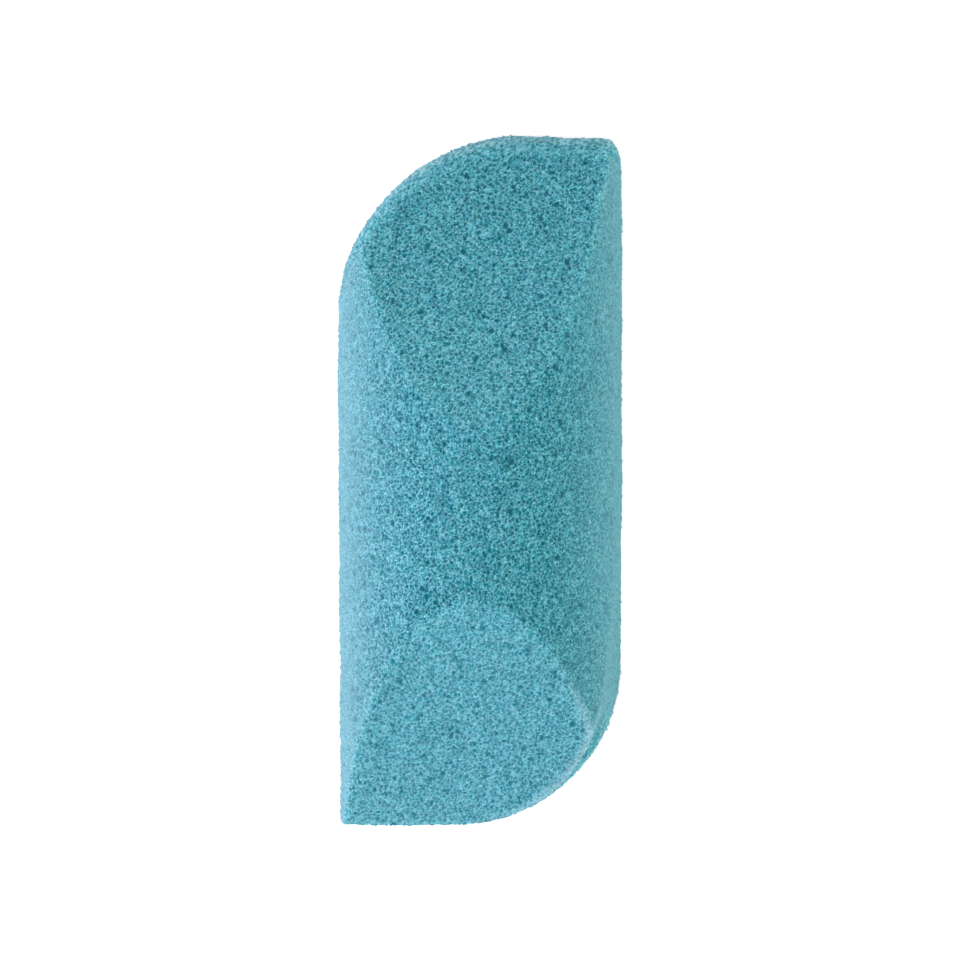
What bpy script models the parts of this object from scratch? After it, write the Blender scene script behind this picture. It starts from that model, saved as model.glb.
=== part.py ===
"""Replacement filter foam for an aquarium or small pond filter.

The object is a single piece of open-cell filter foam: a long block with a half-round front and a flat back,
whose front is sliced away towards both ends by two flat slanting cuts. Seen from the front its outline is a
leaf: two opposite corners are cut to large arcs, of which one is wider than the other, and the other two
corners stay nearly square. The arcs and the ends lean inwards a little towards the front, as foam does when
it is die cut under pressure.

Frame: metres, +Z up. The block lies on its flat back. The origin is the centre of the back face, +Y runs
along the block towards its shallow slanting cut, and +Z points out of the half-round front.
"""

import math
from typing import NamedTuple

import bmesh
import bpy
from mathutils import Matrix, Vector

MM = 0.001

# Driving dimensions
WIDTH = 45.0 * MM  # across the block, and the diameter of the half-round front
LENGTH = 111.6 * MM  # along the block, measured at the back
DEPTH = 35.0 * MM  # from the flat back to the crest of the half-round front
WALL_LEAN = math.radians(5.8)  # how far the arcs and the ends lean in towards the front


class End(NamedTuple):
    """The shape of one end of the block."""
    name: str
    direction: int  # +1 for the +Y end, -1 for the -Y end
    arc_radius: float  # arc of the leaf outline, at the back face
    arc_meets_side: float  # the angle at which the arc runs into the straight side
    slope: float  # how far the straight end is out of square
    corner_across: float  # rounding of the square corner, along X
    corner_along: float  # rounding of the square corner, along Y
    cut_start: float  # where the slanting cut leaves the crest, along Y
    cut_angle: float  # angle of the slanting cut to the long axis


FAR_END = End(
    name="far",
    direction=1,
    arc_radius=30.4 * MM,
    arc_meets_side=math.radians(17.0),
    slope=math.radians(1.5),
    corner_across=2.6 * MM,
    corner_along=4.9 * MM,
    cut_start=10.8 * MM,
    cut_angle=math.radians(18.2),
)
NEAR_END = End(
    name="near",
    direction=-1,
    arc_radius=25.8 * MM,
    arc_meets_side=math.radians(3.7),
    slope=0.0,
    corner_across=0.5 * MM,
    corner_along=0.8 * MM,
    cut_start=-16.7 * MM,
    cut_angle=math.radians(23.7),
)
ENDS = (FAR_END, NEAR_END)

# Facets
ROUND_STEPS = 72  # round the half-round front
ARC_STEPS = 28  # on each arc of the outline
CORNER_STEPS = 8  # on each rounded square corner
SHARP_ANGLE = math.radians(30)  # edges that turn more than this are shaded sharp

# Working allowances
END_SPARE = 2.0 * MM  # extra length at each end of the uncut block, for the end cutters to remove
OVERSHOOT = 12.0 * MM  # how far the cutters stand clear of the block

FOAM_COLOUR = (0.089, 0.351, 0.445, 1.0)  # turquoise, linear
FOAM_ROUGHNESS = 0.95
FOAM_METALLIC = 0.0


def clear_scene():
    for obj in list(bpy.data.objects):
        bpy.data.objects.remove(obj, do_unlink=True)


def new_object(name, bm):
    bmesh.ops.recalc_face_normals(bm, faces=bm.faces)
    mesh = bpy.data.meshes.new(name)
    bm.to_mesh(mesh)
    bm.free()
    obj = bpy.data.objects.new(name, mesh)
    bpy.context.scene.collection.objects.link(obj)
    return obj


def new_cutter(name, bm):
    """A helper object, kept out of renders and drawn as a wire frame."""
    cutter = new_object(name, bm)
    cutter.hide_render = True
    cutter.display_type = "WIRE"
    return cutter


def loft(rings):
    """Closes a stack of equal-length rings into one solid."""
    bm = bmesh.new()
    levels = [[bm.verts.new(point) for point in ring] for ring in rings]
    for low, high in zip(levels, levels[1:]):
        for i in range(len(low)):
            j = (i + 1) % len(low)
            bm.faces.new((low[i], low[j], high[j], high[i]))
    bm.faces.new(levels[0][::-1])
    bm.faces.new(levels[-1])
    return bm


def half_round_block():
    """The uncut block: a D section, flat at z = 0, run along Y."""
    radius = WIDTH / 2
    side_height = DEPTH - radius
    section = [(-radius, 0.0), (radius, 0.0)]
    for i in range(ROUND_STEPS + 1):
        turn = math.pi * i / ROUND_STEPS
        section.append((radius * math.cos(turn), side_height + radius * math.sin(turn)))
    half_length = LENGTH / 2 + END_SPARE
    bm = loft([[(x, y, z) for x, z in section] for y in (-half_length, half_length)])
    return new_object("foam_block", bm)


def waste_outline(end, inset):
    """What is cut away round an arc at -X +Y, the straight end and the square corner at +X +Y.

    The arc and the end are moved inwards by inset.
    """
    half_width, half_length = WIDTH / 2, LENGTH / 2
    centre = Vector((
        -half_width + end.arc_radius * math.cos(end.arc_meets_side),
        half_length - end.arc_radius,
    ))
    radius = end.arc_radius - inset

    def on_arc(turn):
        return centre + Vector((radius * math.cos(turn), radius * math.sin(turn)))

    # the arc runs out past the straight side along its own tangent
    start = math.pi - end.arc_meets_side
    foot = on_arc(start)
    tangent = Vector((-math.sin(end.arc_meets_side), -math.cos(end.arc_meets_side)))
    run_out = (foot.x + half_width + OVERSHOOT) / -tangent.x
    points = [foot + tangent * run_out]
    finish = math.pi / 2 - end.slope
    for i in range(ARC_STEPS + 1):
        points.append(on_arc(start + (finish - start) * i / ARC_STEPS))

    # from the arc a straight end, out of square by the slope, runs to the rounded corner
    arc_end = points[-1]
    for i in range(CORNER_STEPS + 1):
        turn = math.pi / 2 * (1 - i / CORNER_STEPS)
        x = half_width - end.corner_across + end.corner_across * math.cos(turn)
        end_y = arc_end.y - (x - arc_end.x) * math.tan(end.slope)
        points.append(Vector((x, end_y - end.corner_along + end.corner_along * math.sin(turn))))

    # round the outside of the block and back to the start
    outer_x, outer_y = half_width + OVERSHOOT, half_length + OVERSHOOT
    points.append(Vector((outer_x, points[-1].y)))
    points.append(Vector((outer_x, outer_y)))
    points.append(Vector((points[0].x, outer_y)))
    return points


def end_cutter(end):
    """A leaning prism that cuts one arc, one straight end and one square corner."""
    rings = []
    for z in (-OVERSHOOT, DEPTH + OVERSHOOT):
        outline = waste_outline(end, inset=z * math.tan(WALL_LEAN))
        rings.append([(point.x, point.y, z) for point in outline])
    bm = loft(rings)
    if end.direction < 0:
        # the outline is drawn at +Y, so a half turn takes it to the other end
        bmesh.ops.rotate(bm, verts=bm.verts, matrix=Matrix.Rotation(math.pi, 3, "Z"))
    return new_cutter(f"{end.name}_arc_and_end_cutter", bm)


def slant_cutter(end):
    """A slab whose underside is one of the flat slanting cuts."""
    reach = LENGTH
    tilt = Matrix.Rotation(-end.direction * end.cut_angle, 3, "X")
    bm = bmesh.new()
    bmesh.ops.create_cube(bm, size=1.0)
    bmesh.ops.scale(bm, verts=bm.verts, vec=(WIDTH + 2 * OVERSHOOT, 2 * reach, reach))
    bmesh.ops.translate(bm, verts=bm.verts, vec=(0, 0, reach / 2))
    bmesh.ops.rotate(bm, verts=bm.verts, matrix=tilt)
    bmesh.ops.translate(bm, verts=bm.verts, vec=(0, end.cut_start, DEPTH))
    return new_cutter(f"{end.name}_slant_cutter", bm)


def cut(obj, cutter):
    boolean = obj.modifiers.new(cutter.name, "BOOLEAN")
    boolean.operation = "DIFFERENCE"
    boolean.solver = "EXACT"
    boolean.object = cutter


def foam_material():
    material = bpy.data.materials.new("turquoise_filter_foam")
    material.use_nodes = True
    shader = material.node_tree.nodes["Principled BSDF"]
    shader.inputs["Base Color"].default_value = FOAM_COLOUR
    shader.inputs["Roughness"].default_value = FOAM_ROUGHNESS
    shader.inputs["Metallic"].default_value = FOAM_METALLIC
    return material


def build():
    clear_scene()
    block = half_round_block()
    block.data.materials.append(foam_material())
    block.data.shade_smooth()
    block.data.set_sharp_from_angle(angle=SHARP_ANGLE)
    # both ends are cut to outline before the slanting cuts
    for make_cutter in (end_cutter, slant_cutter):
        for end in ENDS:
            cut(block, make_cutter(end))


build()
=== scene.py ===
"""A turquoise open-cell filter foam block, cut to shape, lying on a pale floor.

The flat underside is on the floor at Z = 0 and the rounded side faces +Z.
The ends, with their slanting cuts, face +Y and -Y.
"""

import itertools
import math

import bmesh
import bpy
import numpy as np
from mathutils import Matrix, Vector


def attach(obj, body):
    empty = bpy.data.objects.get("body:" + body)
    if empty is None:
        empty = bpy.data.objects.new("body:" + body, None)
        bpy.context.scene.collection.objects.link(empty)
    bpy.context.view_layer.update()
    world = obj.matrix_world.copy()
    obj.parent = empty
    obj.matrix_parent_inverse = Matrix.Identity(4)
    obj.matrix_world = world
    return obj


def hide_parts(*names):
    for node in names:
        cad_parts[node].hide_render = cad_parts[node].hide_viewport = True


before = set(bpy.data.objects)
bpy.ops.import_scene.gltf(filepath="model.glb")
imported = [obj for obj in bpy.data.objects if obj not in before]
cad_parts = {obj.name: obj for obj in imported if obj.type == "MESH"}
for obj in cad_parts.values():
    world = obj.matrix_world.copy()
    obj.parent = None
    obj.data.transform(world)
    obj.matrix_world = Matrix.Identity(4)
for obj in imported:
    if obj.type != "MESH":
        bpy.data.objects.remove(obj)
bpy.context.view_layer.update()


NODE = "foam_block"
MM = 0.001

# the cell lattice, with two cells to a cube; all but CELL are in cube edges
CELL = 0.72 * MM  # cube edge
CELL_JITTER = 0.40  # how far a cell strays from its place
CELL_SWELL = 0.20  # how much wider than the smallest a cell may be
BIG_SHARE = 0.024  # how many of the cells are blown much larger
BIG_RADIUS = (0.46, 0.74)
WARP = 0.22  # how far the cells are bent out of round
LATTICE_SEED = 20
# the lattice is turned, so that its rows follow no face of the block
LATTICE_TURN = (
    Matrix.Rotation(0.52, 3, "X") @ Matrix.Rotation(0.37, 3, "Y") @ Matrix.Rotation(0.81, 3, "Z")
)

# the skin
SPACING = 0.19 * MM  # of its vertices
UNDER_SOFT = 0.28 * MM  # how widely the edges of the underside are worn round
EDGE_SOFT = 0.60 * MM  # the same for every edge above them
SOFTER_Z = (0.8 * MM, 4.0 * MM)  # height over which the one passes into the other
LIP_WIDTH = 1.60 * MM  # how far from an edge light still comes through from both sides
LIP_START, LIP_SPAN = 0.11, 0.42  # mm an edge is rounded off where the painted edge light starts, and its range

# the look inwards from the skin
STEP = 0.065 * MM
STEPS = 9
FADE = 0.30 * MM  # how fast light dies going in
WALL_SOLIDITY = 0.22  # of the membrane between two cells
FLOOR_OF_PORE = 0.04  # light left where nothing is met

# what is added to the skin, along its normals
RELIEF = 0.60  # share of the seen depth
STRUT_RISE = 0.22 * MM  # of the cut strut ends
UPRIGHT_RISE = 0.16 * MM  # more of it where the skin does not face up
RAGGED = 0.035 * MM
WIDE_DRIFT, NARROW_DRIFT = 0.15 * MM, 0.06 * MM
SINK = 0.05 * MM

CUBE_CORNERS = list(itertools.product((0, 1), repeat=3))


# ---------------------------------------------------------------- cell field
def make_lattice(low, high):
    """The cells round a box: turn, origin and counts of the lattice, then jitter, swell and
    large-cell radius for each of its two sets of cells."""
    rng = np.random.default_rng(LATTICE_SEED)
    turn = np.array(LATTICE_TURN, float)
    box = [[(low, high)[side][axis] for axis, side in enumerate(c)] for c in CUBE_CORNERS]
    corners = np.array(box) @ turn.T
    origin = corners.min(0) - 4 * CELL
    count = np.ceil((corners.max(0) - origin) / CELL).astype(int) + 5
    size = tuple(count)
    jitter = [
        rng.uniform(-CELL_JITTER, CELL_JITTER, size + (3,)).astype(np.float32) for _ in range(2)
    ]
    swell = [(CELL_SWELL * rng.random(size) ** 1.5).astype(np.float32) for _ in range(2)]
    big = [
        np.where(rng.random(size) < BIG_SHARE, rng.uniform(*BIG_RADIUS, size), 0.0).astype(
            np.float32
        )
        for _ in range(2)
    ]
    return turn, origin, count, jitter, swell, big


def cell_distances(points, lattice):
    """Distances from each point to its three nearest cells, and how deep it is inside a
    large cell, in lattice units."""
    turn, origin, count, jitter, swell, big = lattice
    spots = ((points @ turn.T - origin) / CELL).astype(np.float32)
    nearest = np.full(len(spots), 9.0, np.float32)
    second = nearest.copy()
    third = nearest.copy()
    hole = np.zeros(len(spots), np.float32)
    strides = np.array([count[1] * count[2], count[2], 1])
    for which, offset in enumerate((0.0, 0.5)):
        base = np.floor(spots - offset).astype(np.int64)
        local = spots - offset - base
        flat = base @ strides
        moves = jitter[which].reshape(-1, 3)
        wider = swell[which].reshape(-1)
        radii = big[which].reshape(-1)
        for corner in CUBE_CORNERS:
            at = flat + np.dot(corner, strides)
            move = moves[at]
            x, y, z = (local[:, a] - (corner[a] + move[:, a]) for a in range(3))
            away = np.sqrt(x * x + y * y + z * z)
            hole = np.maximum(hole, radii[at] - away)
            away = away - wider[at]
            # sort the new distance in among the three nearest
            farther = np.maximum(nearest, away)
            nearest = np.minimum(nearest, away)
            farthest = np.maximum(second, farther)
            second = np.minimum(second, farther)
            third = np.minimum(third, farthest)
    return nearest, second, third, hole


def ramp(x, low, high):
    """Smooth step from 0 at low to 1 at high."""
    t = np.clip((x - low) / (high - low), 0, 1)
    return t * t * (3 - 2 * t)


def look_in(points, normals, warp, lattice):
    """What is met going straight in from each skin point: mean depth in metres and brightness
    from 0 to 1, which is painted into the colour as shade in the pores, and at the skin itself
    how solid it is and how far inside a large cell."""
    clear = np.ones(len(points), np.float32)
    depth = np.zeros(len(points), np.float32)
    light = np.zeros(len(points), np.float32)
    for step in range(STEPS):
        inward = step * STEP
        nearest, second, third, hole = cell_distances(points + warp - normals * inward, lattice)
        strut = 1 - ramp(third - nearest, low=0.10, high=0.30)
        wall = WALL_SOLIDITY * (1 - ramp(second - nearest, low=0.02, high=0.16))
        solid = np.maximum(strut, wall) * (1 - ramp(hole, low=0.0, high=0.10))
        if step == 0:
            top = solid.copy()
            # how far inside a large cell, for the painted shade there
            large_cell_shade = ramp(hole, low=0.08, high=0.30)
        met = clear * solid
        depth += met * inward
        light += met * math.exp(-inward / FADE)
        clear *= 1 - solid
    depth += clear * STEPS * STEP
    light += clear * FLOOR_OF_PORE
    return depth, light, top, large_cell_shade


def in_chunks(fn, arrays, *more, size=400_000):
    """Runs fn over the arrays a part at a time, to save memory."""
    parts = [
        fn(*(a[i : i + size] for a in arrays), *more) for i in range(0, len(arrays[0]), size)
    ]
    return [np.concatenate(p) for p in zip(*parts)]


def value_noise(points, pitch, seed):
    """Smooth noise from -1 to 1 with that pitch."""
    rng = np.random.default_rng(seed)
    spots = (points - (points.min(0) - pitch)) / pitch
    count = np.ceil(spots.max(0)).astype(int) + 2
    grid = rng.uniform(-1, 1, tuple(count)).astype(np.float32)
    base = np.floor(spots).astype(int)
    part = spots - base
    part = part * part * (3 - 2 * part)
    sides = (1 - part, part)
    out = np.zeros(len(points))
    for i, j, k in CUBE_CORNERS:
        weight = sides[i][:, 0] * sides[j][:, 1] * sides[k][:, 2]
        out += weight * grid[base[:, 0] + i, base[:, 1] + j, base[:, 2] + k]
    return out


# ---------------------------------------------------------------- foam mesh
def rounds(width):
    """Smoothing passes that spread a vertex over that width."""
    return max(1, round(4 * (width / SPACING) ** 2))


def places(mesh):
    out = np.empty(len(mesh.vertices) * 3, np.float32)
    mesh.vertices.foreach_get("co", out)
    return out.reshape(-1, 3).astype(float)


def evaluated(obj):
    graph = bpy.context.evaluated_depsgraph_get()
    return bpy.data.meshes.new_from_object(obj.evaluated_get(graph), depsgraph=graph)


def even_skin(node):
    """The CAD solid as an even, fine quad skin, and its vertices smoothed by three widths."""
    bm = bmesh.new()
    bm.from_mesh(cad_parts[node].data)
    bmesh.ops.remove_doubles(bm, verts=bm.verts, dist=2e-6)
    bmesh.ops.recalc_face_normals(bm, faces=bm.faces)
    mesh = bpy.data.meshes.new("foam_core")
    bm.to_mesh(mesh)
    bm.free()
    core = bpy.data.objects.new("foam_core", mesh)
    bpy.context.scene.collection.objects.link(core)
    remesh = core.modifiers.new("even_skin", "REMESH")
    remesh.mode = "VOXEL"
    remesh.voxel_size = SPACING
    skin = evaluated(core)
    core.modifiers.clear()
    core.data = skin
    soften = core.modifiers.new("soften_edges", "SMOOTH")
    soften.factor = 0.5
    smoothed = []
    for width in (UNDER_SOFT, EDGE_SOFT, EDGE_SOFT + LIP_WIDTH):
        soften.iterations = rounds(width)
        result = evaluated(core)
        smoothed.append(places(result))
        bpy.data.meshes.remove(result)
    bpy.data.objects.remove(core, do_unlink=True)
    return skin, smoothed


def skin_move(rest, normals, depth, top):
    """How far each vertex moves along its normal."""
    drift = WIDE_DRIFT * value_noise(rest, pitch=9 * MM, seed=1)
    drift = drift + NARROW_DRIFT * value_noise(rest, pitch=3 * MM, seed=2)
    ends = value_noise(rest, pitch=0.38 * MM, seed=3)
    # cut strut ends stand out most on the upright faces
    upright = 1 - ramp(normals[:, 2], low=0.20, high=0.50)
    raised = (STRUT_RISE + UPRIGHT_RISE * upright) * top * np.clip(ends, 0, 1) ** 1.5
    ragged = RAGGED * value_noise(rest, pitch=0.27 * MM, seed=4)
    # the underside does not drift, so that it stays flat on the floor
    off_floor = ramp(normals[:, 2], low=-0.95, high=-0.55)
    return (-depth * RELIEF + raised + ragged) + (drift - SINK) * off_floor


def make_foam(node):
    skin, (crisp, worn, soft) = even_skin(node)
    rest = crisp + (worn - crisp) * ramp(crisp[:, 2:3], *SOFTER_Z)
    skin.vertices.foreach_set("co", rest.astype(np.float32).ravel())
    skin.update()
    normals = np.empty(len(rest) * 3, np.float32)
    skin.vertex_normals.foreach_get("vector", normals)
    normals = normals.reshape(-1, 3).astype(float)
    # near a cut edge light comes through the foam from both sides, painted into the colour
    rounded_off = ((rest - soft) * normals).sum(1) / MM
    edge_light = np.clip((rounded_off - LIP_START) / LIP_SPAN, 0, 1) ** 0.8
    lattice = make_lattice(rest.min(0), rest.max(0))
    bends = [value_noise(rest, pitch=0.9 * CELL, seed=10 + axis) for axis in range(3)]
    warp = WARP * CELL * np.stack(bends, 1)
    depth, light, top, large_cell_shade = in_chunks(look_in, (rest, normals, warp), lattice)

    out = rest + normals * skin_move(rest, normals, depth, top)[:, None]
    out[:, 2] = np.maximum(out[:, 2], 0.0)
    skin.vertices.foreach_set("co", out.astype(np.float32).ravel())

    # faces that look towards +Y or -Y: upright end walls, and cuts that slant upwards
    endwards, upwards = np.abs(normals[:, 1]), normals[:, 2]
    end_wall = ramp(endwards, low=0.15, high=0.50) * (1 - ramp(upwards, low=0.35, high=0.70))
    slant = ramp(endwards, low=0.15, high=0.28) * ramp(upwards, low=0.5, high=0.7)
    for name, values in (
        ("painted_pore_light", light),
        ("painted_edge_light", edge_light),
        ("slant_cut", slant),
        ("end_wall", end_wall),
        ("large_cell_shade", large_cell_shade),
    ):
        attribute = skin.attributes.new(name, "FLOAT", "POINT")
        attribute.data.foreach_set("value", values.astype(np.float32))
    attribute = skin.attributes.new("skin_normal", "FLOAT_VECTOR", "POINT")
    attribute.data.foreach_set("vector", normals.astype(np.float32).ravel())
    skin.update()
    skin.polygons.foreach_set("use_smooth", np.ones(len(skin.polygons), bool))
    skin.name = "foam"
    foam = bpy.data.objects.new("foam", skin)
    bpy.context.scene.collection.objects.link(foam)
    return foam


# ---------------------------------------------------------------- node trees
class Tree:
    """Short hand for building the node tree of a material or world."""

    def __init__(self, owner):
        owner.use_nodes = True
        self.nodes = owner.node_tree.nodes
        self.links = owner.node_tree.links

    def fill(self, node, inputs):
        for key, value in inputs.items():
            if isinstance(value, bpy.types.NodeSocket):
                self.links.new(value, node.inputs[key])
            else:
                node.inputs[key].default_value = value

    def node(self, kind, inputs=None, **settings):
        """Makes a node and gives back its outputs."""
        node = self.nodes.new("ShaderNode" + kind)
        for name, value in settings.items():
            setattr(node, name, value)
        self.fill(node, inputs or {})
        return node.outputs

    def attribute(self, name, output="Fac"):
        return self.node("Attribute", attribute_name=name)[output]

    def math(self, operation, a, b=0.0, clamp=False):
        return self.node("Math", {0: a, 1: b}, operation=operation, use_clamp=clamp)[0]

    def times(self, a, by):
        return self.math("MULTIPLY", a, by)

    def add(self, a, b, share=None, clamp=False):
        """a + b, or a + b * share"""
        b = b if share is None else self.times(b, share)
        return self.math("ADD", a, b, clamp)

    def take(self, a, b, share=None, clamp=False):
        """a - b, or a - b * share"""
        b = b if share is None else self.times(b, share)
        return self.math("SUBTRACT", a, b, clamp)

    def noise(self, vector, pitch, detail=0.0):
        inputs = {"Scale": 1 / pitch, "Detail": detail, "Vector": vector}
        return self.node("TexNoise", inputs)["Fac"]

    def voronoi(self, vector, pitch, feature):
        inputs = {"Scale": 1 / pitch, "Vector": vector}
        return self.node("TexVoronoi", inputs, feature=feature)["Distance"]

    def map(self, value, span, to, smooth=False):
        """Carries the span over to another, and holds its ends."""
        names = ("From Min", "From Max", "To Min", "To Max")
        inputs = {**dict(zip(names, span + to)), "Value": value}
        kind = "SMOOTHSTEP" if smooth else "LINEAR"
        return self.node("MapRange", inputs, interpolation_type=kind)["Result"]

    def ramp(self, value, first, *between, last):
        """Colour ramp; a stop is a position and a colour."""
        node = self.nodes.new("ShaderNodeValToRGB")
        elements = node.color_ramp.elements
        for element, (at, colour) in zip(elements, (first, last)):
            element.position, element.color = at, colour + (1,)
        for at, colour in between:
            elements.new(at).color = colour + (1,)
        self.fill(node, {"Fac": value})
        return node.outputs["Color"]

    def mix(self, share, a, b):
        # inputs 0, 6 and 7 and output 2 are those of a colour mix
        return self.node("Mix", {0: share, 6: a, 7: b}, data_type="RGBA")[2]


def new_material(name):
    """A material, its tree and its main shader."""
    material = bpy.data.materials.new(name)
    tree = Tree(material)
    return material, tree, tree.nodes["Principled BSDF"]


# ---------------------------------------------------------------- foam material
def seen_aslant(tree):
    """How far the surface is seen edge on, leaving out the pores."""
    normal = tree.attribute("skin_normal", "Vector")
    incoming = tree.node("NewGeometry")["Incoming"]
    dot = tree.node("VectorMath", {0: normal, 1: incoming}, operation="DOT_PRODUCT")["Value"]
    return tree.take(1.0, tree.math("ABSOLUTE", dot), clamp=True)


def fine_detail(tree, where):
    """Thin struts and membranes too fine for the mesh, the painted glints on their ends, and
    grain.
    """
    edges = tree.voronoi(where, pitch=0.50 * MM, feature="DISTANCE_TO_EDGE")
    struts = tree.map(edges, span=(0.0, 0.14), to=(1.0, 0.0), smooth=True)
    centres = tree.voronoi(where, pitch=0.34 * MM, feature="F1")
    ends = tree.map(centres, span=(0.04, 0.36), to=(1.0, 0.0), smooth=True)
    grain = tree.map(tree.noise(where, pitch=0.26 * MM), span=(0.30, 0.70), to=(-1.0, 1.0))
    return struts, ends, grain


def pore_tone(tree, struts, ends, grain):
    """Painted shade of the pores, with the fine detail fading in the dark ones."""
    detail_mean = 0.14
    darkest = 0.10
    # painted shade: the pores darken with how deep the look into them goes
    pore = tree.attribute("painted_pore_light")
    open_to_light = tree.map(pore, span=(0.0, 0.7), to=(0.45, 1.0))
    # painted glints: the strut ends are paler
    fine = tree.add(tree.times(struts, by=0.17), ends, share=0.46)
    fine = tree.add(fine, grain, share=0.19)
    fine = tree.times(tree.take(fine, detail_mean), by=open_to_light)
    return tree.add(tree.times(pore, by=0.42), tree.add(fine, darkest))


def cut_tone(tree, tone, edge_light, y, z):
    """Painted light coming through the cut edges, painted shade in the large cells and painted
    light on the slanting cuts.
    """
    # painted light coming through the cut edges, stronger high on the block
    lit_through = tree.map(z, span=(19 * MM, 24 * MM), to=(0.12, 0.20))
    tone = tree.add(tone, edge_light, share=lit_through)
    # painted light at the very edge, high on the block only
    edge = tree.math("POWER", edge_light, 4.0)
    tone = tree.add(tone, edge, share=tree.map(z, span=(20 * MM, 25 * MM), to=(0.0, 0.09)))
    # painted shade in the large open cells
    tone = tree.take(tone, tree.attribute("large_cell_shade"), share=0.15)
    # painted light: the slanting cuts are paler than the rounded top, least of all at the +Y end
    painted_cut_light = tree.map(y, span=(14 * MM, 54 * MM), to=(0.075, 0.005))
    tone = tree.add(tone, tree.attribute("slant_cut"), share=painted_cut_light)
    return tree.math("MAXIMUM", tone, 0.0)


def even_out(tree, tone, aslant, end_wall, y):
    """Seen edge on, near strut ends hide the depths; the slanting cut at -Y is calmer too."""
    middle = 0.50
    even = tree.map(aslant, span=(0.15, 0.80), to=(0.0, 0.40))
    even = tree.times(even, by=tree.take(1.0, end_wall, share=0.75))
    calmer = tree.map(y, span=(-10 * MM, -20 * MM), to=(0.0, 0.14))
    even = tree.add(even, tree.attribute("slant_cut"), share=calmer)
    return tree.add(tone, even, share=tree.take(middle, tone))


def end_wall_tone(tree, tone, where, aslant, end_wall, z):
    """On the end walls whole rows of cells stand one behind the other, and only their outline
    shows. Gives the tone, where a wall is seen edge on, and the foot of such a wall; walls seen
    edge on get painted light, their foot most."""
    row_squeeze = (1.0, 1.0, 0.09)
    squeezed = tree.node("VectorMath", {0: where, 1: row_squeeze}, operation="MULTIPLY")["Vector"]
    outlines = tree.voronoi(squeezed, pitch=0.62 * MM, feature="F1")
    rows = tree.map(outlines, span=(0.20, 0.80), to=(-0.5, 0.5))
    edge_on = tree.times(end_wall, by=tree.map(aslant, span=(0.55, 0.80), to=(0.0, 1.0)))
    tone = tree.add(tone, tree.times(rows, by=0.72), share=edge_on)
    # painted light: the pale floor lights the foot of a wall
    low = tree.map(z, span=(3 * MM, 17 * MM), to=(1.0, 0.0), smooth=True)
    floor_lit_foot = tree.times(edge_on, by=low)
    tone = tree.add(tone, floor_lit_foot, share=0.10)
    # painted light: walls seen edge on are a little paler
    return tree.add(tone, edge_on, share=0.04, clamp=True), edge_on, floor_lit_foot


def dye(tree, tone, where, edge_light, edge_on, y):
    """Turquoise by tone, with a slow drift; painted light through an edge is deeper in colour."""
    colour = tree.ramp(
        tone,
        (0.00, (0.008, 0.155, 0.205)),
        (0.30, (0.026, 0.330, 0.425)),
        (0.62, (0.086, 0.550, 0.670)),
        last=(1.00, (0.400, 0.860, 0.960)),
    )
    middle = (0.3, 0.7)  # the range most of a noise lies in
    drift = tree.map(tree.noise(where, pitch=8 * MM, detail=3.0), span=middle, to=(0.97, 1.03))
    tint = tree.map(tree.noise(where, pitch=1.3 * MM, detail=2.0), span=middle, to=(0.492, 0.506))
    faded = tree.map(tree.noise(where, pitch=1.0 * MM, detail=1.0), span=middle, to=(0.92, 1.02))
    faded = tree.take(faded, tree.attribute("slant_cut"), share=0.01)
    # painted light through an edge, a little deeper in colour
    faded = tree.add(faded, edge_light, share=0.04)
    faded = tree.add(faded, edge_on, share=0.03)
    # painted shade: the -Y end is a little darker
    painted_end_shade = tree.map(y, span=(-10 * MM, -34 * MM), to=(1.0, 0.955), smooth=True)
    value = tree.times(drift, by=painted_end_shade)
    inputs = {"Hue": tint, "Saturation": faded, "Value": value, "Color": colour}
    return tree.node("HueSaturation", inputs)["Color"]


def painted_pale_light(tree, aslant, end_wall, floor_lit_foot, edge_light, x, y):
    """Share of pale colour, all painted light: painted sheen seen aslant, painted floor light at
    the foot of the walls, and painted light through one corner's rim.
    """
    # painted sheen where the skin is seen aslant
    painted_light_share = tree.map(aslant, span=(0.12, 0.70), to=(0.0, 0.125))
    painted_light_share = tree.times(painted_light_share, by=tree.take(1.0, end_wall))
    painted_light_share = tree.add(painted_light_share, floor_lit_foot, share=0.16)
    # painted light: the rim towards the +X, -Y corner has a pale fringe of light coming through
    # it
    corner_x, corner_y = 22.5 * MM, 55.8 * MM
    corner = tree.take(tree.times(x, by=1 / corner_x), y, share=1 / corner_y)
    return tree.add(painted_light_share, edge_light, share=tree.map(corner, span=(0.95, 1.40), to=(0.0, 0.32)))


def fine_bump(tree, struts, ends, grain):
    height = tree.add(tree.times(ends, by=0.7), struts, share=0.5)
    height = tree.add(height, grain, share=0.15)
    inputs = {"Strength": 0.5, "Distance": 0.05 * MM, "Height": height}
    return tree.node("Bump", inputs)["Normal"]


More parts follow.
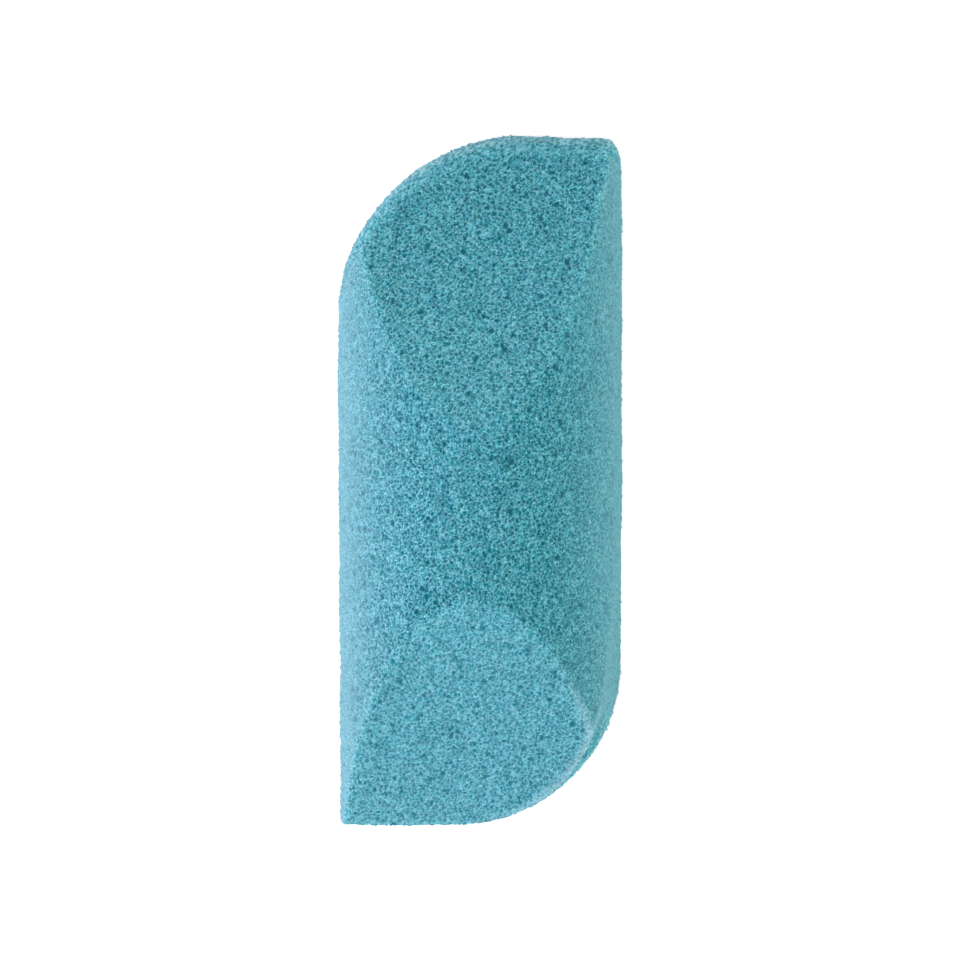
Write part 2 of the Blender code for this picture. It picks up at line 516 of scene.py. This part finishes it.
def foam_material():
    material, tree, shader = new_material("open_cell_foam")
    where = tree.node("TexCoord")["Object"]
    along = tree.node("SeparateXYZ", {0: where})
    x, y, z = along["X"], along["Y"], along["Z"]

    aslant = seen_aslant(tree)
    struts, ends, grain = fine_detail(tree, where)
    tone = pore_tone(tree, struts, ends, grain)
    edge_light = tree.attribute("painted_edge_light")
    tone = cut_tone(tree, tone, edge_light, y, z)
    end_wall = tree.attribute("end_wall")
    tone = even_out(tree, tone, aslant, end_wall, y)
    tone, edge_on, floor_lit_foot = end_wall_tone(tree, tone, where, aslant, end_wall, z)

    colour = dye(tree, tone, where, edge_light, edge_on, y)
    painted_light_share = painted_pale_light(tree, aslant, end_wall, floor_lit_foot, edge_light, x, y)
    # the pale colour of the painted sheen and light
    painted_light_colour = (0.78, 0.82, 0.92, 1)
    inputs = {
        "Base Color": tree.mix(painted_light_share, colour, painted_light_colour),
        "Normal": fine_bump(tree, struts, ends, grain),
        "IOR": 1.70,
        "Sheen Weight": 0.12,
        "Sheen Roughness": 0.45,
        "Sheen Tint": (0.80, 0.93, 1.0, 1),
    }
    # only the strut ends shine; the pores between them are dull
    inputs["Roughness"] = tree.map(tone, span=(0.0, 1.0), to=(0.95, 0.45))
    shine = tree.map(tone, span=(0.12, 0.50), to=(0.10, 1.0))
    duller = tree.map(edge_on, span=(0.0, 1.0), to=(1.0, 0.5))
    inputs["Specular IOR Level"] = tree.times(shine, by=duller)
    tree.fill(shader, inputs)
    return material


# ---------------------------------------------------------------- stage
FLOOR_HALF = 3.0
FLOOR_GLOW = 0.60  # seen from straight above
SIDE_GLOW = 0.40 * FLOOR_GLOW  # seen from low down
WORLD_LIGHT = 0.62  # strength the dome shines with
WORLD_SEEN = 0.95  # strength the camera sees
AIM = (0, 0, 0.012)
# name, place, size, power in watts, colour
LAMPS = (
    ("left_softbox", (-0.62, -0.18, 0.30), (0.5, 0.7), 3.8, (1.0, 0.885, 0.970)),
    ("right_softbox", (0.62, -0.22, 0.28), (0.5, 0.7), 1.50, (0.58, 1.0, 0.80)),
    ("lower_softbox", (0.0, -0.70, 0.32), (0.7, 0.4), 0.7, (0.60, 0.60, 1.0)),
    ("upper_softbox", (0.0, 0.70, 0.30), (0.7, 0.4), 0.6, (0.90, 1.0, 0.95)),
)


def floor_material():
    """A lit table: it glows a little, towards the camera only."""
    material, tree, shader = new_material("pale_floor")
    camera_ray = tree.node("LightPath")["Is Camera Ray"]
    incoming = tree.node("NewGeometry")["Incoming"]
    steepness = tree.node("SeparateXYZ", {0: incoming})["Z"]
    glow = tree.map(steepness, span=(0.35, 0.95), to=(SIDE_GLOW, FLOOR_GLOW))
    # past the reach of the lamps it is as pale as the dome behind it
    position = tree.node("NewGeometry")["Position"]
    away = tree.node("VectorMath", {0: position}, operation="LENGTH")["Value"]
    glow = tree.add(glow, tree.map(away, span=(0.45, 2.2), to=(0.0, 0.45), smooth=True))
    inputs = {
        "Base Color": (0.88, 0.885, 0.89, 1),
        "Roughness": 0.9,
        "Specular IOR Level": 0.1,
        "Emission Color": (1.0, 0.85, 0.82, 1),
        "Emission Strength": tree.times(camera_ray, by=glow),
    }
    tree.fill(shader, inputs)
    return material


def make_floor():
    bm = bmesh.new()
    bmesh.ops.create_grid(bm, x_segments=1, y_segments=1, size=FLOOR_HALF)
    mesh = bpy.data.meshes.new("floor")
    bm.to_mesh(mesh)
    bm.free()
    floor = bpy.data.objects.new("floor", mesh)
    floor.data.materials.append(floor_material())
    bpy.context.scene.collection.objects.link(floor)


def area_light(name, place, size, power, colour):
    data = bpy.data.lights.new(name, "AREA")
    data.shape = "RECTANGLE"
    data.size, data.size_y = size
    data.energy = power
    data.color = colour
    lamp = bpy.data.objects.new(name, data)
    lamp.location = place
    lamp.rotation_euler = (Vector(AIM) - Vector(place)).to_track_quat("-Z", "Y").to_euler()
    bpy.context.scene.collection.objects.link(lamp)


def make_world():
    """A soft dome of light, which looks paler than it shines."""
    world = bpy.data.worlds.new("studio")
    bpy.context.scene.world = world
    tree = Tree(world)
    camera_ray = tree.node("LightPath")["Is Camera Ray"]
    strength = tree.map(camera_ray, span=(0.0, 1.0), to=(WORLD_LIGHT, WORLD_SEEN))
    inputs = {"Color": (0.92, 0.98, 1.0, 1), "Strength": strength}
    tree.fill(tree.nodes["Background"], inputs)


# ---------------------------------------------------------------- camera
CAMERA_TARGET = (0, 0, 12.5 * MM)
CAMERA_DISTANCE = 660.8 * MM
LEAN_X, LEAN_Y = 0.051, 0.084  # radians off the vertical, towards +X and +Y
ROLL = 0.002
SENSOR, LENS = 36, 154.875  # mm
SHIFT = (0.000416667, 0.00604167)  # share of the frame's width


def make_camera():
    """Looks down on the block, a little from +X and +Y, through a long lens."""
    cos_x, sin_x = math.cos(LEAN_X), math.sin(LEAN_X)
    cos_y, sin_y = math.cos(LEAN_Y), math.sin(LEAN_Y)
    cos_roll, sin_roll = math.cos(ROLL), math.sin(ROLL)
    right = Vector((cos_x, 0, -sin_x))
    back = Vector((sin_x * cos_y, sin_y, cos_x * cos_y))
    up = back.cross(right)
    right, up = right * cos_roll - up * sin_roll, up * cos_roll + right * sin_roll
    data = bpy.data.cameras.new("camera")
    data.sensor_width = SENSOR
    data.lens = LENS
    data.shift_x, data.shift_y = SHIFT
    data.clip_start, data.clip_end = 0.01, 20
    camera = bpy.data.objects.new("camera", data)
    turn = Matrix((right, up, back)).transposed().to_4x4()
    place = Vector(CAMERA_TARGET) + back * CAMERA_DISTANCE
    camera.matrix_world = Matrix.Translation(place) @ turn
    bpy.context.scene.collection.objects.link(camera)
    bpy.context.scene.camera = camera


# ---------------------------------------------------------------- build
foam = make_foam(NODE)
foam.data.materials.clear()
foam.data.materials.append(foam_material())
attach(foam, "root")
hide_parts(NODE)

make_floor()
for lamp_values in LAMPS:
    area_light(*lamp_values)
make_world()
bpy.context.scene.view_settings.view_transform = "Standard"
make_camera()
